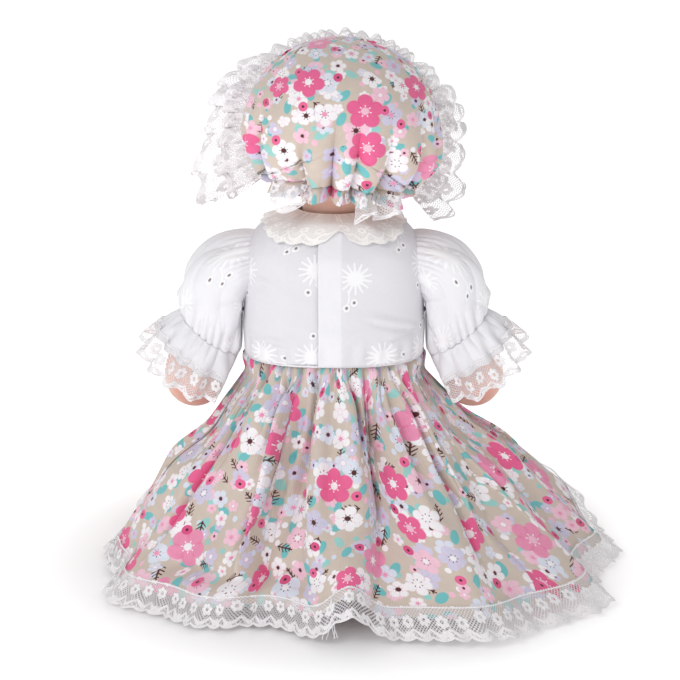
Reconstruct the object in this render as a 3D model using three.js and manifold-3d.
// Seated reborn doll: vinyl head and limbs on a stuffed cloth torso, held by plastic disc joints,
// dressed in a white bodice, a gathered print skirt and a bonnet, all trimmed with lace.
// Millimetres, +Z up. The doll faces -Y, its left side is +X, and it sits on the plane z = 0.
import * as THREE from "three";
import { mergeVertices } from "three/addons/utils/BufferGeometryUtils.js";
import Module from "manifold-3d";

const wasm = await Module();
wasm.setup();

// Driving dimensions
const CLEARANCE = 0.4; // between pieces that touch or turn on each other
const CLOTH = 1.2; // thickness of the dress and bonnet cloth
const LACE = 1.0; // thickness of a lace ruffle

const TORSO_WALL = 2.0;
const SEAT_HALF_WIDTH = 24;
const HIP_HALF_WIDTH = 34;
const WAIST_HALF_WIDTH = 30;
const CHEST_HALF_WIDTH = 28;
const NECK_RADIUS = 12.5;
const TORSO_DEPTH_RATIO = 0.8; // torso depth over torso width
const WAIST_Z = 91;
const SHOULDER_Z = 124;
const NECK_Z = 146;

const HIP_PLANE_X = 30.5; // flat sides of the torso where the legs sit
const HIP_Y = 2;
const HIP_Z = 17;
const SHOULDER_PLANE_X = 29; // flat ends of the shoulder boss where the arms sit
const SHOULDER_BOSS_RADIUS = 10.5;

const JOINT_DISC_RADIUS = 7.5;
const JOINT_DISC_THICKNESS = 1.8;
const JOINT_STEM_RADIUS = 2.2;
const JOINT_WASHER_THICKNESS = 1.5;
const JOINT_LOCK_RADIUS = 4.6;
const JOINT_LOCK_THICKNESS = 1.3;
const STEM_TIP = 1.2; // stem left over past the lock

const LIMB_WALL = 2.6;
const ARM_ROOT_RADIUS = 9.8;
const ELBOW_RADIUS = 12;
const WRIST_RADIUS = 7.6;
const ELBOW_X = 56;
const ELBOW_Z = 80;
const FOREARM_REACH = 49; // wrist in front of the shoulder
const FOREARM_INWARD = 9; // wrist nearer the middle than the elbow
const HAND_LENGTH = 17;
const THIGH_RADIUS = 15.2;
const CALF_RADIUS = 13.4;
const ANKLE_RADIUS = 9.2;
const KNEE_X = 48;
const HEEL_INWARD = 5; // heel nearer the middle than the knee
const LEG_REACH = 88; // hip to heel, forwards
const FOOT_LENGTH = 31;
const SOLE_FLAT = 0.5; // depth of the flat under the calf and heel

const HEAD_WIDTH = 63;
const HEAD_DEPTH = 69;
const HEAD_HEIGHT = 62;
const HEAD_CENTRE_UP = 33.5; // above the neck joint
const HEAD_CENTRE_FORWARD = 2;
const HEAD_ROLL = THREE.MathUtils.degToRad(-6); // the head leans to the doll's right
const HEAD_WALL = 3;
const EYE_RADIUS = 6.6;
const EYE_SPACING = 25;
const EYE_PROTRUSION = 1.4; // front of the eye past the skull's ellipsoid

const BONNET_EASE = 6.4; // bonnet cloth outside the skull
const BONNET_TOP_EASE = 2.4; // less over the top, where the cloth lies on the skull
const BONNET_BACK = 5; // extra fullness at the back
const BONNET_FRONT_Y = -7; // crown seam, in front of the head's centre
const BRIM_WIDTH = 9;
const NAPE_DROP = 24; // nape edge below the head's centre
const BONNET_LACE_TOP = 16; // width of the ruffle over the brow
const BONNET_LACE_SIDE = 27; // and beside the chin
const BONNET_LACE_RUFFLES = 15;
const NAPE_PLEAT_DEPTH = 2.6;
const NAPE_PLEATS = 10; // round the whole crown
const ELASTIC_WIDTH = 4.5;
const ELASTIC_THICKNESS = 0.8;

const BODICE_HALF_WIDTH = 34.2; // waist and sides
const BODICE_DEPTH_RATIO = 0.86;
const ARMHOLE_RADIUS = 13.4;
const NECKLINE_RADIUS = 15.5;
const PLACKET_X = 5.6; // edge of the back closure
const PLACKET_OVERLAP = 11;
const CLOSURE_DROP = 20; // top of the closure below the neck
const CLOSURE_TAPE = 0.6; // thickness of each half of the touch tape
const COLLAR_WIDTH = 9;
const COLLAR_LIFT = 1.3; // lace edge above the top of the bodice
const COLLAR_RUFFLES = 10;

const SLEEVE_PUFF = 15; // greatest radius of a puffed sleeve
const CUFF_RADIUS = 14.6; // where the elastic gathers the sleeve
const FLOUNCE_WIDTH = 7;
const CUFF_LACE_WIDTH = 10;
const CUFF_FLARE = 5.4; // extra radius at the lace edge

const SKIRT_FOLDS = 12;
const SKIRT_FOLD_DEPTH = 4.2;
const SKIRT_BACK = 92; // hem behind the axis
const SKIRT_BACK_LEFT = 72; // drawn in on the left of the back
const SKIRT_LEFT = 88;
const SKIRT_RIGHT = 100;
const SKIRT_FRONT = 94;
const SKIRT_FRONT_HEM_Z = 43; // the hem passes over the shins
const SKIRT_DIP = 12; // and dips between the legs
const HEM_LACE_WIDTH = 11;

// Colours of the finishes
const finish = (color, roughness) => new THREE.MeshStandardMaterial({ color, roughness, metalness: 0 });
const skin = finish(0xd9ab95, 0.55);
const bodyCloth = finish(0xd8bfae, 0.95);
const fibre = finish(0xf3f1ec, 1.0);
const glassBeads = finish(0xcfd6da, 0.6);
const jointPlastic = finish(0xe9e7e1, 0.45);
const eyeAcrylic = finish(0x3f5f7a, 0.08);
const whiteCotton = finish(0xf4f2f5, 0.9);
const printCotton = finish(0xcdb9a8, 0.9);
const laceThread = finish(0xf7f6f4, 0.95);
const elastic = finish(0xeeeeec, 0.85);
const touchTape = finish(0xf0f0ee, 0.95);

const doll = new THREE.Group();
const V = (x, y, z) => new THREE.Vector3(x, y, z);
const mix = THREE.MathUtils.lerp;
const smooth = THREE.MathUtils.smoothstep;
const wave = (turns) => Math.cos(turns * 2 * Math.PI);

// Solids and booleans

function solidOf(geometry) {
  const bare = new THREE.BufferGeometry();
  bare.setAttribute("position", geometry.getAttribute("position"));
  bare.setIndex(geometry.index);
  const merged = mergeVertices(bare, 1e-3);
  const triVerts = new Uint32Array(merged.index.array);
  const vertProperties = merged.getAttribute("position").array;
  return new wasm.Manifold(new wasm.Mesh({ numProp: 3, vertProperties, triVerts }));
}

function geometryOf(solid) {
  const mesh = solid.getMesh();
  const geometry = new THREE.BufferGeometry();
  geometry.setAttribute("position", new THREE.BufferAttribute(mesh.vertProperties, 3));
  geometry.setIndex(new THREE.BufferAttribute(mesh.triVerts, 1));
  geometry.computeVertexNormals();
  return geometry;
}

function addPiece(name, shape, material, parent = doll) {
  const geometry = shape.isBufferGeometry ? shape : geometryOf(shape);
  const mesh = new THREE.Mesh(geometry, material);
  mesh.name = name;
  parent.add(mesh);
  return mesh;
}

// A closed skin through equal rings of points: fans close its ends, or the last ring meets the first.
function loft(rings, loop = false) {
  const count = rings[0].length;
  const points = rings.flat();
  const faces = [];
  const bands = loop ? rings.length : rings.length - 1;
  for (let band = 0; band < bands; band++) {
    const low = band * count;
    const high = ((band + 1) % rings.length) * count;
    for (let i = 0; i < count; i++) {
      const j = (i + 1) % count;
      faces.push([low + i, low + j, high + j], [low + i, high + j, high + i]);
    }
  }
  if (!loop) {
    for (const [ring, start] of [[rings[0], 0], [rings.at(-1), (rings.length - 1) * count]]) {
      const hub = points.length;
      points.push(ring.reduce((sum, p) => sum.add(p), V(0, 0, 0)).divideScalar(count));
      for (let i = 0; i < count; i++) {
        const j = (i + 1) % count;
        faces.push(start === 0 ? [hub, start + j, start + i] : [hub, start + i, start + j]);
      }
    }
  }
  let volume = 0;
  for (const [a, b, c] of faces) volume += points[a].dot(V(0, 0, 0).crossVectors(points[b], points[c]));
  const outward = volume < 0 ? faces.map(([a, b, c]) => [a, c, b]) : faces;
  const geometry = new THREE.BufferGeometry().setFromPoints(points);
  geometry.setIndex(outward.flat());
  geometry.computeVertexNormals();
  return geometry;
}

// A wall between an outer and an inner set of rings.
const shell = (outer, inner) => loft([...outer, ...inner.slice().reverse()], true);

// A level ring whose outline goes from an ellipse (2) towards a rectangle as squareness grows.
function levelRing(z, halfWidth, halfDepth, count, squareness = 2, centreY = 0) {
  return Array.from({ length: count }, (_, i) => {
    const angle = (i / count) * 2 * Math.PI;
    const power = (value) => Math.sign(value) * Math.abs(value) ** (2 / squareness);
    return V(halfWidth * power(Math.cos(angle)), centreY + halfDepth * power(Math.sin(angle)), z);
  });
}

// A straight rod between two points.
function rod(from, to, radius, sides = 16) {
  const axis = to.clone().sub(from);
  const geometry = new THREE.CylinderGeometry(radius, radius, axis.length(), sides);
  geometry.applyQuaternion(new THREE.Quaternion().setFromUnitVectors(V(0, 1, 0), axis.clone().normalize()));
  geometry.translate(...from.clone().lerp(to, 0.5));
  return solidOf(geometry);
}

function block(low, high) {
  const geometry = new THREE.BoxGeometry(high.x - low.x, high.y - low.y, high.z - low.z);
  geometry.translate(...low.clone().lerp(high, 0.5));
  return solidOf(geometry);
}

// A ball of given half sizes, with its points moved by an optional function of their direction.
function ball(centre, half, columns = 20, rows = 12, reshape = (p) => p) {
  const geometry = new THREE.SphereGeometry(1, columns, rows);
  geometry.rotateX(Math.PI / 2);
  const positions = geometry.getAttribute("position");
  for (let i = 0; i < positions.count; i++) {
    const direction = V(positions.getX(i), positions.getY(i), positions.getZ(i));
    const point = reshape(direction.clone().multiply(half), direction).add(centre);
    positions.setXYZ(i, point.x, point.y, point.z);
  }
  return solidOf(geometry);
}

const FAR = 400; // larger than the doll
const upTo = (axis, limit) => {
  const high = V(FAR, FAR, FAR);
  high[axis] = limit;
  return block(V(-FAR, -FAR, -FAR), high);
};
const beyond = (axis, limit) => {
  const low = V(-FAR, -FAR, -FAR);
  low[axis] = limit;
  return block(low, V(FAR, FAR, FAR));
};
const mirrored = (side) => (x, y, z) => V(side * x, y, z);

// Disc joint: a disc with a stem inside the limb, a washer and a snap lock inside the torso.
// Its own axis is +Y, away from the torso, and its origin lies on the torso's outer face.
const capOuter = CLEARANCE;
const capInner = capOuter + LIMB_WALL;
const discFrom = capInner + CLEARANCE;
const discTo = discFrom + JOINT_DISC_THICKNESS;
const washerTo = -TORSO_WALL - CLEARANCE;
const washerFrom = washerTo - JOINT_WASHER_THICKNESS;
const lockTo = washerFrom - CLEARANCE;
const lockFrom = lockTo - JOINT_LOCK_THICKNESS;
const stemFrom = lockFrom - STEM_TIP;
const stemHole = JOINT_STEM_RADIUS + CLEARANCE / 2;
const discRoom = JOINT_DISC_RADIUS + CLEARANCE;
const hardwareRoom = JOINT_DISC_RADIUS + 2 * CLEARANCE;

function revolve(profile, sides = 12) {
  return new THREE.LatheGeometry(profile.map(([r, y]) => new THREE.Vector2(r, y)), sides);
}

function ringProfile(inner, outer, from, to) {
  return [[inner, from], [outer, from], [outer, to], [inner, to], [inner, from]];
}

function addJoint(name, origin, outward) {
  const group = new THREE.Group();
  group.position.copy(origin);
  group.quaternion.setFromUnitVectors(V(0, 1, 0), outward);
  doll.add(group);
  const stemmedDisc = [
    [0, stemFrom],
    [JOINT_STEM_RADIUS, stemFrom],
    [JOINT_STEM_RADIUS, discFrom],
    [JOINT_DISC_RADIUS, discFrom],
    [JOINT_DISC_RADIUS, discTo],
    [0, discTo],
  ];
  addPiece(`${name}_stem_disc`, revolve(stemmedDisc), jointPlastic, group);
  const washer = ringProfile(stemHole, JOINT_DISC_RADIUS, washerFrom, washerTo);
  addPiece(`${name}_washer`, revolve(washer), jointPlastic, group);
  const lock = ringProfile(stemHole, JOINT_LOCK_RADIUS, lockFrom, lockTo);
  addPiece(`${name}_lock`, revolve(lock), jointPlastic, group);
}

const along = (origin, outward, distance) => origin.clone().addScaledVector(outward, distance);

const sides = [["left", 1], ["right", -1]];
const shoulderAt = (side) => V(side * SHOULDER_PLANE_X, 0, SHOULDER_Z);
const hipAt = (side) => V(side * HIP_PLANE_X, HIP_Y, HIP_Z);
const neckAt = V(0, 0, NECK_Z);
const up = V(0, 0, 1);
const sockets = [
  ["neck", neckAt, up],
  ...sides.map(([name, side]) => [`${name}_shoulder`, shoulderAt(side), V(side, 0, 0)]),
  ...sides.map(([name, side]) => [`${name}_hip`, hipAt(side), V(side, 0, 0)]),
];
for (const [name, origin, outward] of sockets) addJoint(name, origin, outward);

// Torso: a sewn cloth bag with flat hips, a shoulder boss and a hole for each joint's stem

const TORSO_SIDES = 20;

function torsoBag(inset) {
  const profile = [
    [0, SEAT_HALF_WIDTH],
    [7, mix(SEAT_HALF_WIDTH, HIP_HALF_WIDTH, 0.75)],
    [HIP_Z + 4, HIP_HALF_WIDTH],
    [mix(HIP_Z, WAIST_Z, 0.6), mix(HIP_HALF_WIDTH, WAIST_HALF_WIDTH, 0.5)],
    [WAIST_Z, WAIST_HALF_WIDTH],
    [mix(WAIST_Z, SHOULDER_Z, 0.6), CHEST_HALF_WIDTH],
    [SHOULDER_Z, CHEST_HALF_WIDTH * 0.93],
    [mix(SHOULDER_Z, NECK_Z, 0.55), mix(CHEST_HALF_WIDTH, NECK_RADIUS, 0.55)],
    [NECK_Z, NECK_RADIUS],
  ];
  const last = profile.length - 1;
  const rings = profile.map(([z, halfWidth], i) => {
    const level = i === 0 ? inset : i === last ? z - inset : z;
    const round = i === last ? 1 : TORSO_DEPTH_RATIO;
    const width = halfWidth - inset;
    return levelRing(level, width, halfWidth * round - inset, TORSO_SIDES, 2.2);
  });
  const flatHips = block(V(-HIP_PLANE_X + inset, -FAR, -FAR), V(HIP_PLANE_X - inset, FAR, FAR));
  const bossEnd = SHOULDER_PLANE_X - inset;
  const boss = rod(V(-bossEnd, 0, SHOULDER_Z), V(bossEnd, 0, SHOULDER_Z), SHOULDER_BOSS_RADIUS - inset);
  return solidOf(loft(rings)).intersect(flatHips).add(boss);
}

let torso = torsoBag(0).subtract(torsoBag(TORSO_WALL));
for (const [, origin, outward] of sockets) {
  const hole = rod(along(origin, outward, -2 * TORSO_WALL), along(origin, outward, TORSO_WALL), stemHole);
  torso = torso.subtract(hole);
}
addPiece("cloth_torso", torso, bodyCloth);

// Filling: a pouch of glass beads in the seat and a wad of fibre above it
const POUCH_TOP = HIP_Z + hardwareRoom + 4;
let filling = torsoBag(TORSO_WALL + CLEARANCE);
for (const [, origin, outward] of sockets) {
  const inner = along(origin, outward, stemFrom - CLEARANCE);
  filling = filling.subtract(rod(inner, along(origin, outward, TORSO_WALL), hardwareRoom));
}
addPiece("bead_pouch", filling.intersect(upTo("z", POUCH_TOP)), glassBeads);
addPiece("fibre_stuffing", filling.intersect(beyond("z", POUCH_TOP + CLEARANCE)), fibre);

// Limbs


// A limb follows a smooth path through its stations [point, radius], from a flat end on the joint.
// An inset and a shorter reach give the hollow inside the vinyl.
function limbSkin(stations, inset, reach, steps, count) {
  const path = new THREE.CatmullRomCurve3(stations.map(([point]) => point), false, "centripetal");
  const frames = path.computeFrenetFrames(steps, false);
  const rings = [];
  for (let step = 0; step <= steps; step++) {
    const t = step / steps;
    if (t > reach) continue;
    const place = t * (stations.length - 1);
    const station = Math.min(Math.floor(place), stations.length - 2);
    const radius = mix(stations[station][1], stations[station + 1][1], smooth(place - station, 0, 1)) - inset;
    const centre = path.getPoint(t);
    rings.push(
      Array.from({ length: count }, (_, i) => {
        const angle = (i / count) * 2 * Math.PI;
        const spoke = frames.normals[step].clone().multiplyScalar(radius * Math.cos(angle));
        return spoke.addScaledVector(frames.binormals[step], radius * Math.sin(angle)).add(centre);
      }),
    );
  }
  return solidOf(loft(rings));
}

// Trims a limb flat at its joint and opens it: a stem hole, room for the disc and the hollow behind.
function openLimb(limb, hollow, origin, outward) {
  const outside = (gap) => (outward.x > 0 ? beyond("x", origin.x + gap) : upTo("x", origin.x - gap));
  const stemWay = rod(origin, along(origin, outward, discTo), stemHole);
  const discWay = rod(along(origin, outward, capInner), along(origin, outward, discTo + CLEARANCE), discRoom);
  const inside = hollow.intersect(outside(capInner));
  return limb.intersect(outside(capOuter)).subtract(stemWay).subtract(discWay).subtract(inside);
}

// A finger or toe: a short rod with round ends.
function digit(from, to, radius) {
  const axis = to.clone().sub(from);
  const geometry = new THREE.CapsuleGeometry(radius, axis.length(), 2, 6);
  geometry.applyQuaternion(new THREE.Quaternion().setFromUnitVectors(V(0, 1, 0), axis.clone().normalize()));
  geometry.translate(...from.clone().lerp(to, 0.5));
  return solidOf(geometry);
}

const armStations = (side) => {
  const at = mirrored(side);
  const reach = ELBOW_X - SHOULDER_PLANE_X;
  const drop = SHOULDER_Z - ELBOW_Z;
  const inward = (share) => ELBOW_X - share * FOREARM_INWARD;
  const start = SHOULDER_PLANE_X;
  return [
    [at(start - 3, 0, SHOULDER_Z), ARM_ROOT_RADIUS],
    [at(start + 0.35 * reach, 0, SHOULDER_Z - 0.05 * drop), ARM_ROOT_RADIUS],
    [at(start + 0.72 * reach, 1, SHOULDER_Z - 0.32 * drop), ARM_ROOT_RADIUS],
    [at(ELBOW_X - 2, 3, SHOULDER_Z - 0.66 * drop), mix(ARM_ROOT_RADIUS, ELBOW_RADIUS, 0.3)],
    [at(ELBOW_X, 1, ELBOW_Z), ELBOW_RADIUS],
    [at(ELBOW_X, -0.25 * FOREARM_REACH, ELBOW_Z - 0.5 * ELBOW_RADIUS), ELBOW_RADIUS],
    [at(inward(0.33), -0.6 * FOREARM_REACH, ELBOW_Z - 0.33 * ELBOW_RADIUS), mix(ELBOW_RADIUS, WRIST_RADIUS, 0.35)],
    [at(inward(0.9), -0.92 * FOREARM_REACH, ELBOW_Z), WRIST_RADIUS],
    [at(inward(1), -FOREARM_REACH, ELBOW_Z + 0.1 * WRIST_RADIUS), WRIST_RADIUS],
  ];
};

function armSolid(side) {
  const at = mirrored(side);
  const stations = armStations(side);
  let arm = limbSkin(stations, 0, 1, 16, 12);
  const hollow = limbSkin(stations, LIMB_WALL, 0.62, 8, 8);
  const wristX = ELBOW_X - FOREARM_INWARD;
  const palm = V(wristX - 1.5, -FOREARM_REACH - 0.25 * HAND_LENGTH, ELBOW_Z + 0.2 * WRIST_RADIUS);
  arm = arm.add(ball(at(palm.x, palm.y, palm.z), V(4.6, 0.48 * HAND_LENGTH, 7.6), 10, 7));
  const knuckleY = palm.y - 0.34 * HAND_LENGTH;
  const tipY = palm.y - 0.68 * HAND_LENGTH;
  for (let finger = 0; finger < 4; finger++) {
    const z = palm.z + 4.8 - 3.1 * finger;
    const curl = 2.2 + 0.5 * finger;
    const shorter = finger === 3 ? 2 : 0;
    arm = arm.add(digit(at(palm.x, knuckleY, z), at(palm.x - curl, tipY + shorter, z - 0.6), 1.9));
  }
  const thumbRoot = at(palm.x - 1.5, palm.y + 1, palm.z + 6);
  const thumbTip = at(palm.x - 4.5, palm.y - 0.36 * HAND_LENGTH, palm.z + 8.4);
  arm = arm.add(digit(thumbRoot, thumbTip, 2.2));
  return openLimb(arm, hollow, shoulderAt(side), V(side, 0, 0));
}

const legStations = (side) => {
  const at = mirrored(side);
  const start = HIP_PLANE_X;
  const heelY = HIP_Y - LEG_REACH;
  const calfZ = CALF_RADIUS - SOLE_FLAT;
  return [
    [at(start - 4, HIP_Y, HIP_Z), THIGH_RADIUS - 1],
    [at(start + 5, HIP_Y - 1, HIP_Z), THIGH_RADIUS],
    [at(mix(start, KNEE_X, 0.75), HIP_Y - 0.2 * LEG_REACH, HIP_Z), THIGH_RADIUS],
    [at(KNEE_X, HIP_Y - 0.45 * LEG_REACH, HIP_Z - 1), mix(THIGH_RADIUS, CALF_RADIUS, 0.7)],
    [at(KNEE_X - 1, HIP_Y - 0.68 * LEG_REACH, calfZ), CALF_RADIUS],
    [at(KNEE_X - 0.8 * HEEL_INWARD, heelY + 1.1 * ANKLE_RADIUS, mix(calfZ, ANKLE_RADIUS, 0.7)), ANKLE_RADIUS],
    [at(KNEE_X - HEEL_INWARD, heelY, ANKLE_RADIUS), ANKLE_RADIUS],
  ];
};

function legSolid(side) {
  const at = mirrored(side);
  const stations = legStations(side);
  let leg = limbSkin(stations, 0, 1, 14, 12);
  const hollow = limbSkin(stations, LIMB_WALL, 0.7, 7, 8);
  const heelX = KNEE_X - HEEL_INWARD;
  const heelY = HIP_Y - LEG_REACH;
  const soleY = heelY - 5;
  const foot = V(heelX + 1, soleY, 0.47 * FOOT_LENGTH - SOLE_FLAT);
  leg = leg.add(ball(at(foot.x, foot.y, foot.z), V(8.2, 7.4, 0.47 * FOOT_LENGTH), 12, 8));
  leg = leg.add(ball(at(heelX, heelY - 2, 7.6 - SOLE_FLAT), V(7.6, 9, 7.6), 10, 7));
  const toeZ = 0.84 * FOOT_LENGTH;
  for (let toe = 0; toe < 5; toe++) {
    const x = foot.x - 6 + 2.9 * toe;
    const radius = toe === 0 ? 2.6 : 2.0;
    const drop = 0.9 * toe;
    leg = leg.add(digit(at(x, soleY - 1, toeZ - drop - 4), at(x, soleY - 3.4, toeZ - drop), radius));
  }
  leg = leg.intersect(beyond("z", 0));
  return openLimb(leg, hollow, hipAt(side), V(side, 0, 0));
}

for (const [name, side] of sides) {
  addPiece(`${name}_arm`, armSolid(side), skin);
  addPiece(`${name}_leg`, legSolid(side), skin);
}

// Head: worked in a frame at the neck joint, leaning to the doll's right

const headHalf = V(HEAD_WIDTH / 2, HEAD_DEPTH / 2, HEAD_HEIGHT / 2);
const headCentre = V(0, -HEAD_CENTRE_FORWARD, HEAD_CENTRE_UP);
const headLean = new THREE.Matrix4().makeRotationY(HEAD_ROLL).setPosition(neckAt);
const leaning = (solid) => solidOf(geometryOf(solid).applyMatrix4(headLean));

// A soft bump of the face, strongest in one direction.
function bump(direction, towards, width) {
  const angle = direction.angleTo(towards.clone().normalize());
  return Math.exp(-((angle / width) ** 2));
}

function facePoint(point, direction) {
  const cheeks = bump(direction, V(0.62, -0.72, -0.42), 0.42) + bump(direction, V(-0.62, -0.72, -0.42), 0.42);
  const chin = bump(direction, V(0, -0.78, -0.82), 0.26);
  const nose = bump(direction, V(0, -1, -0.2), 0.13);
  const lips = bump(direction, V(0, -0.95, -0.46), 0.16);
  const brow = bump(direction, V(0, -0.9, 0.42), 0.5);
  const eyeHollow = bump(direction, V(0.42, -1, 0.02), 0.2) + bump(direction, V(-0.42, -1, 0.02), 0.2);
  const swell = 3 * cheeks + 3 * chin + 5.5 * nose + 1.8 * lips + 1.2 * brow - 1.6 * eyeHollow;
  return point.addScaledVector(direction, swell);
}

const eyeAt = (side) => {
  const x = (side * EYE_SPACING) / 2;
  const front = headHalf.y * Math.sqrt(1 - (x / headHalf.x) ** 2);
  return V(x, headCentre.y - front - EYE_PROTRUSION + EYE_RADIUS, headCentre.z + 0.5);
};

function headSolid() {
  let head = ball(headCentre, headHalf, 24, 16, facePoint);
  for (const [, side] of sides) {
    head = head.add(ball(V(side * headHalf.x, 5, headCentre.z - 3), V(2.6, 5.2, 7.5), 8, 6));
  }
  const inside = headHalf.clone().subScalar(HEAD_WALL);
  head = head.subtract(ball(headCentre, inside, 14, 10));
  for (const [, side] of sides) {
    head = head.subtract(ball(eyeAt(side), V(1, 1, 1).multiplyScalar(EYE_RADIUS + CLEARANCE), 12, 8));
  }
  const neckTop = HEAD_CENTRE_UP - headHalf.z + 8;
  const neckFoot = neckAt.clone().setZ(NECK_Z + capOuter);
  const throat = neckAt.clone().setZ(NECK_Z + neckTop);
  const neck = rod(neckFoot, throat, NECK_RADIUS, 20);
  const bore = rod(neckAt.clone().setZ(NECK_Z + capInner), throat.clone().setZ(throat.z + 4), NECK_RADIUS - LIMB_WALL, 20);
  const stemWay = rod(neckAt, throat, stemHole);
  return leaning(head).add(neck).subtract(bore).subtract(stemWay);
}

addPiece("head_shell", headSolid(), skin);
for (const [name, side] of sides) {
  const eye = ball(eyeAt(side), V(1, 1, 1).multiplyScalar(EYE_RADIUS), 12, 8);
  addPiece(`${name}_eye`, leaning(eye), eyeAcrylic);
}

// Bonnet: a full crown gathered at the nape, a brim band and a lace ruffle round the face

const bonnetHalf = headHalf.clone().addScalar(BONNET_EASE);
const bonnetCentre = headCentre.clone().setY(headCentre.y + BONNET_BACK / 2);
bonnetHalf.y += BONNET_BACK / 2;
bonnetHalf.z = headHalf.z + BONNET_TOP_EASE;
const snugHalf = headHalf.clone().addScalar(CLOTH + ELASTIC_THICKNESS + 2 * CLEARANCE);
const crownFront = headCentre.y + BONNET_FRONT_Y;
const napeZ = headCentre.z - NAPE_DROP;

// The cloth is full over the crown, snug at the nape and pleated upwards from there.
function bonnetPoint(inset, pleatDepth) {
  return (point, direction) => {
    const gathered = smooth(-direction.z, 0.2, 0.62);
    const full = direction.clone().multiply(bonnetHalf).add(bonnetCentre).sub(headCentre);
    const snug = direction.clone().multiply(snugHalf);
    const cloth = full.lerp(snug, gathered * smooth(direction.y, -0.4, 0.1));
    const around = Math.atan2(direction.x, direction.y) / (2 * Math.PI);
    const pleating = smooth(-direction.z, -0.1, 0.6) * smooth(direction.y, -0.1, 0.4);
    const pleat = pleatDepth * pleating * (0.5 + 0.5 * wave(around * NAPE_PLEATS));
    return cloth.multiplyScalar(1 + (pleat - inset) / cloth.length());
  };
}

function bonnetBall(inset, pleatDepth = NAPE_PLEAT_DEPTH) {
  return ball(headCentre, headHalf, NAPE_PLEATS * 4, 12, bonnetPoint(inset, pleatDepth));
}
const aboveNape = beyond("z", napeZ);
const bonnetWall = bonnetBall(0).subtract(bonnetBall(CLOTH)).intersect(aboveNape);
addPiece("bonnet_crown", leaning(bonnetWall.intersect(beyond("y", crownFront))), printCotton);

const brimFront = crownFront - BRIM_WIDTH;
const brim = bonnetWall.intersect(upTo("y", crownFront - CLEARANCE)).intersect(beyond("y", brimFront));
addPiece("bonnet_brim_band", leaning(brim), printCotton);

const elasticOuter = bonnetBall(CLOTH + CLEARANCE, 0);
const elasticInner = bonnetBall(CLOTH + CLEARANCE + ELASTIC_THICKNESS, 0);
const napeChannel = block(V(-FAR, bonnetCentre.y + 6, napeZ + 2), V(FAR, FAR, napeZ + 2 + ELASTIC_WIDTH));
addPiece("bonnet_nape_elastic", leaning(elasticOuter.subtract(elasticInner).intersect(napeChannel)), elastic);

// The ruffle leaves the brim's front edge and flares forwards, in waves that grow outwards.
function bonnetLaceGeometry() {
  const edgeShare = Math.sqrt(1 - ((brimFront - bonnetCentre.y) / bonnetHalf.y) ** 2);
  const edgeHalf = V(bonnetHalf.x * edgeShare - CLOTH, 0, bonnetHalf.z * edgeShare - CLOTH);
  const lowest = Math.asin((bonnetCentre.z - napeZ) / edgeHalf.z) * 0.84;
  const columns = BONNET_LACE_RUFFLES * 4;
  const rings = [];
  for (let column = 0; column <= columns; column++) {
    const share = column / columns;
    const angle = mix(-lowest, Math.PI + lowest, share);
    const outward = V(Math.cos(angle), 0, Math.sin(angle));
    const topness = smooth(outward.z, -0.1, 1);
    const width = mix(BONNET_LACE_SIDE, BONNET_LACE_TOP, topness);
    const spread = mix(0.92, 0.35, topness);
    const flare = V(outward.x * spread, mix(-0.4, -0.9, topness), outward.z * spread * 0.85).normalize();
    const ripple = wave(share * BONNET_LACE_RUFFLES);
    const root = outward.clone().multiply(edgeHalf).add(V(bonnetCentre.x, brimFront - CLEARANCE, bonnetCentre.z));
    const corner = (reach, depth) => {
      const sway = 2.4 * (reach / width) * ripple;
      const normal = mix(1, 0.35, topness);
      const shift = V(0, (sway - depth) * normal, 0).addScaledVector(outward, (depth - sway) * (1 - normal));
      return root.clone().addScaledVector(flare, reach).add(shift);
    };
    rings.push([corner(0, 0), corner(width, 0), corner(width, LACE), corner(0, LACE)]);
  }
  return loft(rings).applyMatrix4(headLean);
}
addPiece("bonnet_lace", bonnetLaceGeometry(), laceThread);

// Bodice: a front and two back panels round the torso, closed at the back by touch tape

const bodiceFoot = WAIST_Z + CLEARANCE;
const CLOTH_SIDES = 28;

function bodiceBag(inset, openEnds) {
  const past = openEnds ? 6 : 0;
  const profile = [
    [bodiceFoot - past, BODICE_HALF_WIDTH, 1],
    [bodiceFoot, BODICE_HALF_WIDTH, 1],
    [mix(WAIST_Z, SHOULDER_Z, 0.3), BODICE_HALF_WIDTH, 1.05],
    [mix(WAIST_Z, SHOULDER_Z, 0.75), BODICE_HALF_WIDTH, 1],
    [mix(SHOULDER_Z, NECK_Z, 0.35), BODICE_HALF_WIDTH - 0.6, 0.92],
    [mix(SHOULDER_Z, NECK_Z, 0.7), mix(BODICE_HALF_WIDTH, NECKLINE_RADIUS, 0.36), 0.95],
    [NECK_Z - 1, NECKLINE_RADIUS + CLOTH, 1.25],
    [NECK_Z - 1 + past, NECKLINE_RADIUS + CLOTH, 1.25],
  ];
  const rows = openEnds ? profile : profile.slice(1, -1);
  const rings = rows.map(([z, halfWidth, fullness]) =>
    levelRing(z, halfWidth - inset, halfWidth * fullness * BODICE_DEPTH_RATIO - inset, CLOTH_SIDES, 2.6),
  );
  return solidOf(loft(rings));
}

const armholeWay = rod(V(-FAR, 0, SHOULDER_Z), V(FAR, 0, SHOULDER_Z), ARMHOLE_RADIUS);
const cutBodice = (solid) => solid.subtract(armholeWay);
const bodiceWall = cutBodice(bodiceBag(0, false).subtract(bodiceBag(CLOTH, true)));
const seam = CLEARANCE / 2;
addPiece("bodice_front", bodiceWall.intersect(upTo("y", -seam)), whiteCotton);

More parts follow.
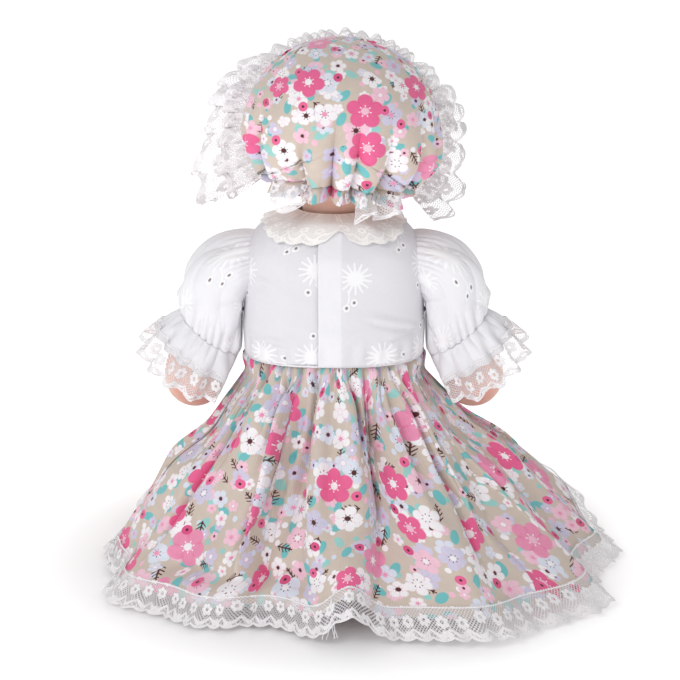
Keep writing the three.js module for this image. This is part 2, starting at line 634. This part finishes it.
const backWall = bodiceWall.intersect(beyond("y", seam));
const tapeOuter = CLOTH + CLEARANCE;
const hookInner = tapeOuter + CLOSURE_TAPE;
const loopInner = hookInner + CLEARANCE + CLOSURE_TAPE;
const underlapOuter = loopInner + CLEARANCE;
const closureTop = NECK_Z - CLOSURE_DROP;
const layer = (outer, inner, fromX, toX, fromZ, toZ) =>
  bodiceBag(outer, true).subtract(bodiceBag(inner, true)).intersect(block(V(fromX, 0, fromZ), V(toX, FAR, toZ)));
const placketEdge = PLACKET_X + CLEARANCE;
const underlapFrom = PLACKET_X - PLACKET_OVERLAP;
const underlap = layer(underlapOuter, underlapOuter + CLOTH, underlapFrom, placketEdge + CLOTH, bodiceFoot, closureTop);
const fold = layer(0, underlapOuter + CLOTH, placketEdge, placketEdge + CLOTH, bodiceFoot, closureTop);
const leftBack = backWall.intersect(beyond("x", placketEdge)).add(fold).add(underlap);
addPiece("bodice_back_left", leftBack, whiteCotton);
addPiece("bodice_back_right", backWall.intersect(upTo("x", PLACKET_X)), whiteCotton);

const tapeFrom = underlapFrom + 1;
const tapeTo = PLACKET_X - 1;
const tapeFoot = bodiceFoot + 3;
const tapeTop = closureTop - 3;
addPiece("closure_hook_tape", layer(tapeOuter, hookInner, tapeFrom, tapeTo, tapeFoot, tapeTop), touchTape);
addPiece("closure_loop_tape", layer(hookInner + CLEARANCE, loopInner, tapeFrom, tapeTo, tapeFoot, tapeTop), touchTape);

// Collar: a narrow lace frill lying out from the neckline
function collarGeometry() {
  const columns = COLLAR_RUFFLES * 4;
  const ringAt = (reach, lift) =>
    Array.from({ length: columns }, (_, i) => {
      const angle = (i / columns) * 2 * Math.PI;
      const ripple = 0.7 * (reach / COLLAR_WIDTH) * wave((i / columns) * COLLAR_RUFFLES);
      const radius = NECK_RADIUS + 2 * CLEARANCE + 1.2 + reach;
      const slope = reach * 0.42;
      return V(radius * Math.cos(angle), 1.02 * radius * Math.sin(angle), NECK_Z + COLLAR_LIFT + lift + ripple - slope);
    });
  return shell([ringAt(0, LACE), ringAt(COLLAR_WIDTH, LACE)], [ringAt(0, 0), ringAt(COLLAR_WIDTH, 0)]);
}
addPiece("collar_lace", collarGeometry(), laceThread);

// Sleeves: a puff from the armhole to an elastic cuff, then a flounce edged with lace

const SLEEVE_PLEATS = 6;
const SLEEVE_SIDES = SLEEVE_PLEATS * 4;
const sleeveWallX = BODICE_HALF_WIDTH + CLEARANCE;

const clearOfSkirt = 0.55; // sideways slope that keeps the cuffs off the skirt below the waist

// One ring of a sleeve: its middle, the way the sleeve runs there, its radius and its pleats.
function sleeveRing(side, [centre, heading, radius, pleat], inset) {
  const across = V(0, 0, 0).crossVectors(heading, V(0, -1, 0)).normalize();
  const forward = V(0, 0, 0).crossVectors(across, heading).normalize();
  return Array.from({ length: SLEEVE_SIDES }, (_, i) => {
    const turn = i / SLEEVE_SIDES;
    const angle = turn * 2 * Math.PI;
    const size = radius - inset + pleat * wave(turn * SLEEVE_PLEATS);
    const point = centre.clone();
    point.addScaledVector(forward, size * Math.cos(angle)).addScaledVector(across, size * Math.sin(angle));
    const wall = sleeveWallX + clearOfSkirt * Math.max(WAIST_Z - point.z, 0);
    point.x = Math.max(point.x, wall + inset);
    return V(side * point.x, point.y, point.z);
  });
}

const heading = (x, y, z) => V(x, y, z).normalize();
const cuffMiddle = V(ELBOW_X - 4, 2, mix(SHOULDER_Z, ELBOW_Z, 0.55));
const cuffWay = heading(0.32, -0.25, -0.91);
const flounceWay = heading(0.18, -0.4, -0.9);
const laceWay = heading(0.08, -0.5, -0.86);
const armWay = heading(0.26, 0.05, -0.96);
const pastCuff = (distance) => cuffMiddle.clone().addScaledVector(armWay, distance);
const flounceRadius = CUFF_RADIUS + 0.55 * CUFF_FLARE;
const sleeveStations = [
  [V(sleeveWallX, 0, SHOULDER_Z - 2.5), heading(1, 0, 0), mix(ARMHOLE_RADIUS, SLEEVE_PUFF, 0.35), 0],
  [V(sleeveWallX + 4, 0, SHOULDER_Z - 3.5), heading(0.93, 0, -0.37), mix(ARMHOLE_RADIUS, SLEEVE_PUFF, 0.8), 0.4],
  [V(sleeveWallX + 7.6, 0.5, SHOULDER_Z - 7.5), heading(0.75, 0, -0.66), SLEEVE_PUFF, 0.7],
  [cuffMiddle.clone().add(V(-4.2, -1.5, 10)), heading(0.52, -0.05, -0.85), SLEEVE_PUFF, 0.8],
  [cuffMiddle.clone().add(V(-1.2, -0.5, 4.5)), heading(0.38, -0.15, -0.91), mix(SLEEVE_PUFF, CUFF_RADIUS, 0.4), 0.8],
  [cuffMiddle, cuffWay, CUFF_RADIUS, 0.5],
];
const flounceStations = [
  [pastCuff(CLEARANCE), cuffWay, CUFF_RADIUS, 0.5],
  [pastCuff(FLOUNCE_WIDTH), flounceWay, flounceRadius, 1.1],
];
const laceStations = [
  [pastCuff(FLOUNCE_WIDTH + CLEARANCE), flounceWay, flounceRadius, 1.1],
  [pastCuff(FLOUNCE_WIDTH + CUFF_LACE_WIDTH), laceWay, CUFF_RADIUS + CUFF_FLARE, 1.5],
];
const elasticRadius = CUFF_RADIUS - CLOTH - 1;
const elasticStations = [
  [pastCuff(-ELASTIC_WIDTH), cuffWay, elasticRadius, 0],
  [cuffMiddle, cuffWay, elasticRadius, 0],
];
const sleeveTube = (side, stations, thickness) =>
  shell(
    stations.map((station) => sleeveRing(side, station, 0)),
    stations.map((station) => sleeveRing(side, station, thickness)),
  );
for (const [name, side] of sides) {
  addPiece(`${name}_sleeve`, sleeveTube(side, sleeveStations, CLOTH), whiteCotton);
  addPiece(`${name}_cuff_flounce`, sleeveTube(side, flounceStations, CLOTH), whiteCotton);
  addPiece(`${name}_cuff_lace`, sleeveTube(side, laceStations, LACE), laceThread);
  addPiece(`${name}_cuff_elastic`, sleeveTube(side, elasticStations, ELASTIC_THICKNESS), elastic);
}

// Skirt: gathered into the waist seam, spread on the floor behind and laid over the legs in front

const SKIRT_COLUMNS = SKIRT_FOLDS * 5;
const skirtWaist = V(BODICE_HALF_WIDTH, BODICE_HALF_WIDTH * BODICE_DEPTH_RATIO, WAIST_Z);

// A point of the skirt: turn goes round from the doll's left by the back, down is 0 at the waist
// and 1 at the print's hem.
function skirtPoint(turn, down, inset) {
  const angle = turn * 2 * Math.PI;
  const [c, s] = [Math.cos(angle), Math.sin(angle)];
  const hemX = c > 0 ? SKIRT_LEFT : SKIRT_RIGHT;
  const hemY = s > 0 ? mix(SKIRT_BACK, SKIRT_BACK_LEFT, smooth(c, -0.4, 0.5)) : SKIRT_FRONT;
  const inFront = smooth(-s, 0.25, 0.85);
  const betweenLegs = smooth(-s, 0.95, 1);
  const hemZ = mix(HEM_LACE_WIDTH * 0.72, SKIRT_FRONT_HEM_Z - SKIRT_DIP * betweenLegs, inFront);
  const spread = down ** mix(1.45, 1.15, inFront); // steep at the waist, flaring to the hem
  const lap = 1 - Math.max(1 - down, 0) ** 2 + 0.4 * Math.max(down - 1, 0); // falls to the lap, then levels out
  const fold = SKIRT_FOLD_DEPTH * smooth(down, 0, 0.5) * wave(turn * SKIRT_FOLDS);
  const reach = (waist, hem) => mix(waist, hem, spread) - inset + fold;
  return V(c * reach(skirtWaist.x, hemX), s * reach(skirtWaist.y, hemY), mix(WAIST_Z, hemZ, mix(down, lap, inFront)));
}

function skirtRings(downs, inset) {
  return downs.map((down) =>
    Array.from({ length: SKIRT_COLUMNS }, (_, i) => skirtPoint(i / SKIRT_COLUMNS, down, inset)),
  );
}
const skirtDowns = [0, 0.12, 0.3, 0.5, 0.75, 1];
addPiece("skirt", shell(skirtRings(skirtDowns, 0), skirtRings(skirtDowns, CLOTH)), printCotton);

// The hem's lace carries on past the print in the same folds, and lies lightly on the floor.
const skirtLength = WAIST_Z / Math.cos(Math.atan2(SKIRT_BACK - skirtWaist.y, WAIST_Z));
const laceDown = HEM_LACE_WIDTH / skirtLength;
const laceDowns = [1 + CLEARANCE / skirtLength, 1 + laceDown];
const onFloor = (rings) => rings.map((ring) => ring.map((p) => V(p.x, p.y, Math.max(p.z, 0.2))));
addPiece("hem_lace", shell(onFloor(skirtRings(laceDowns, 0)), skirtRings(laceDowns, LACE)), laceThread);

export default doll;
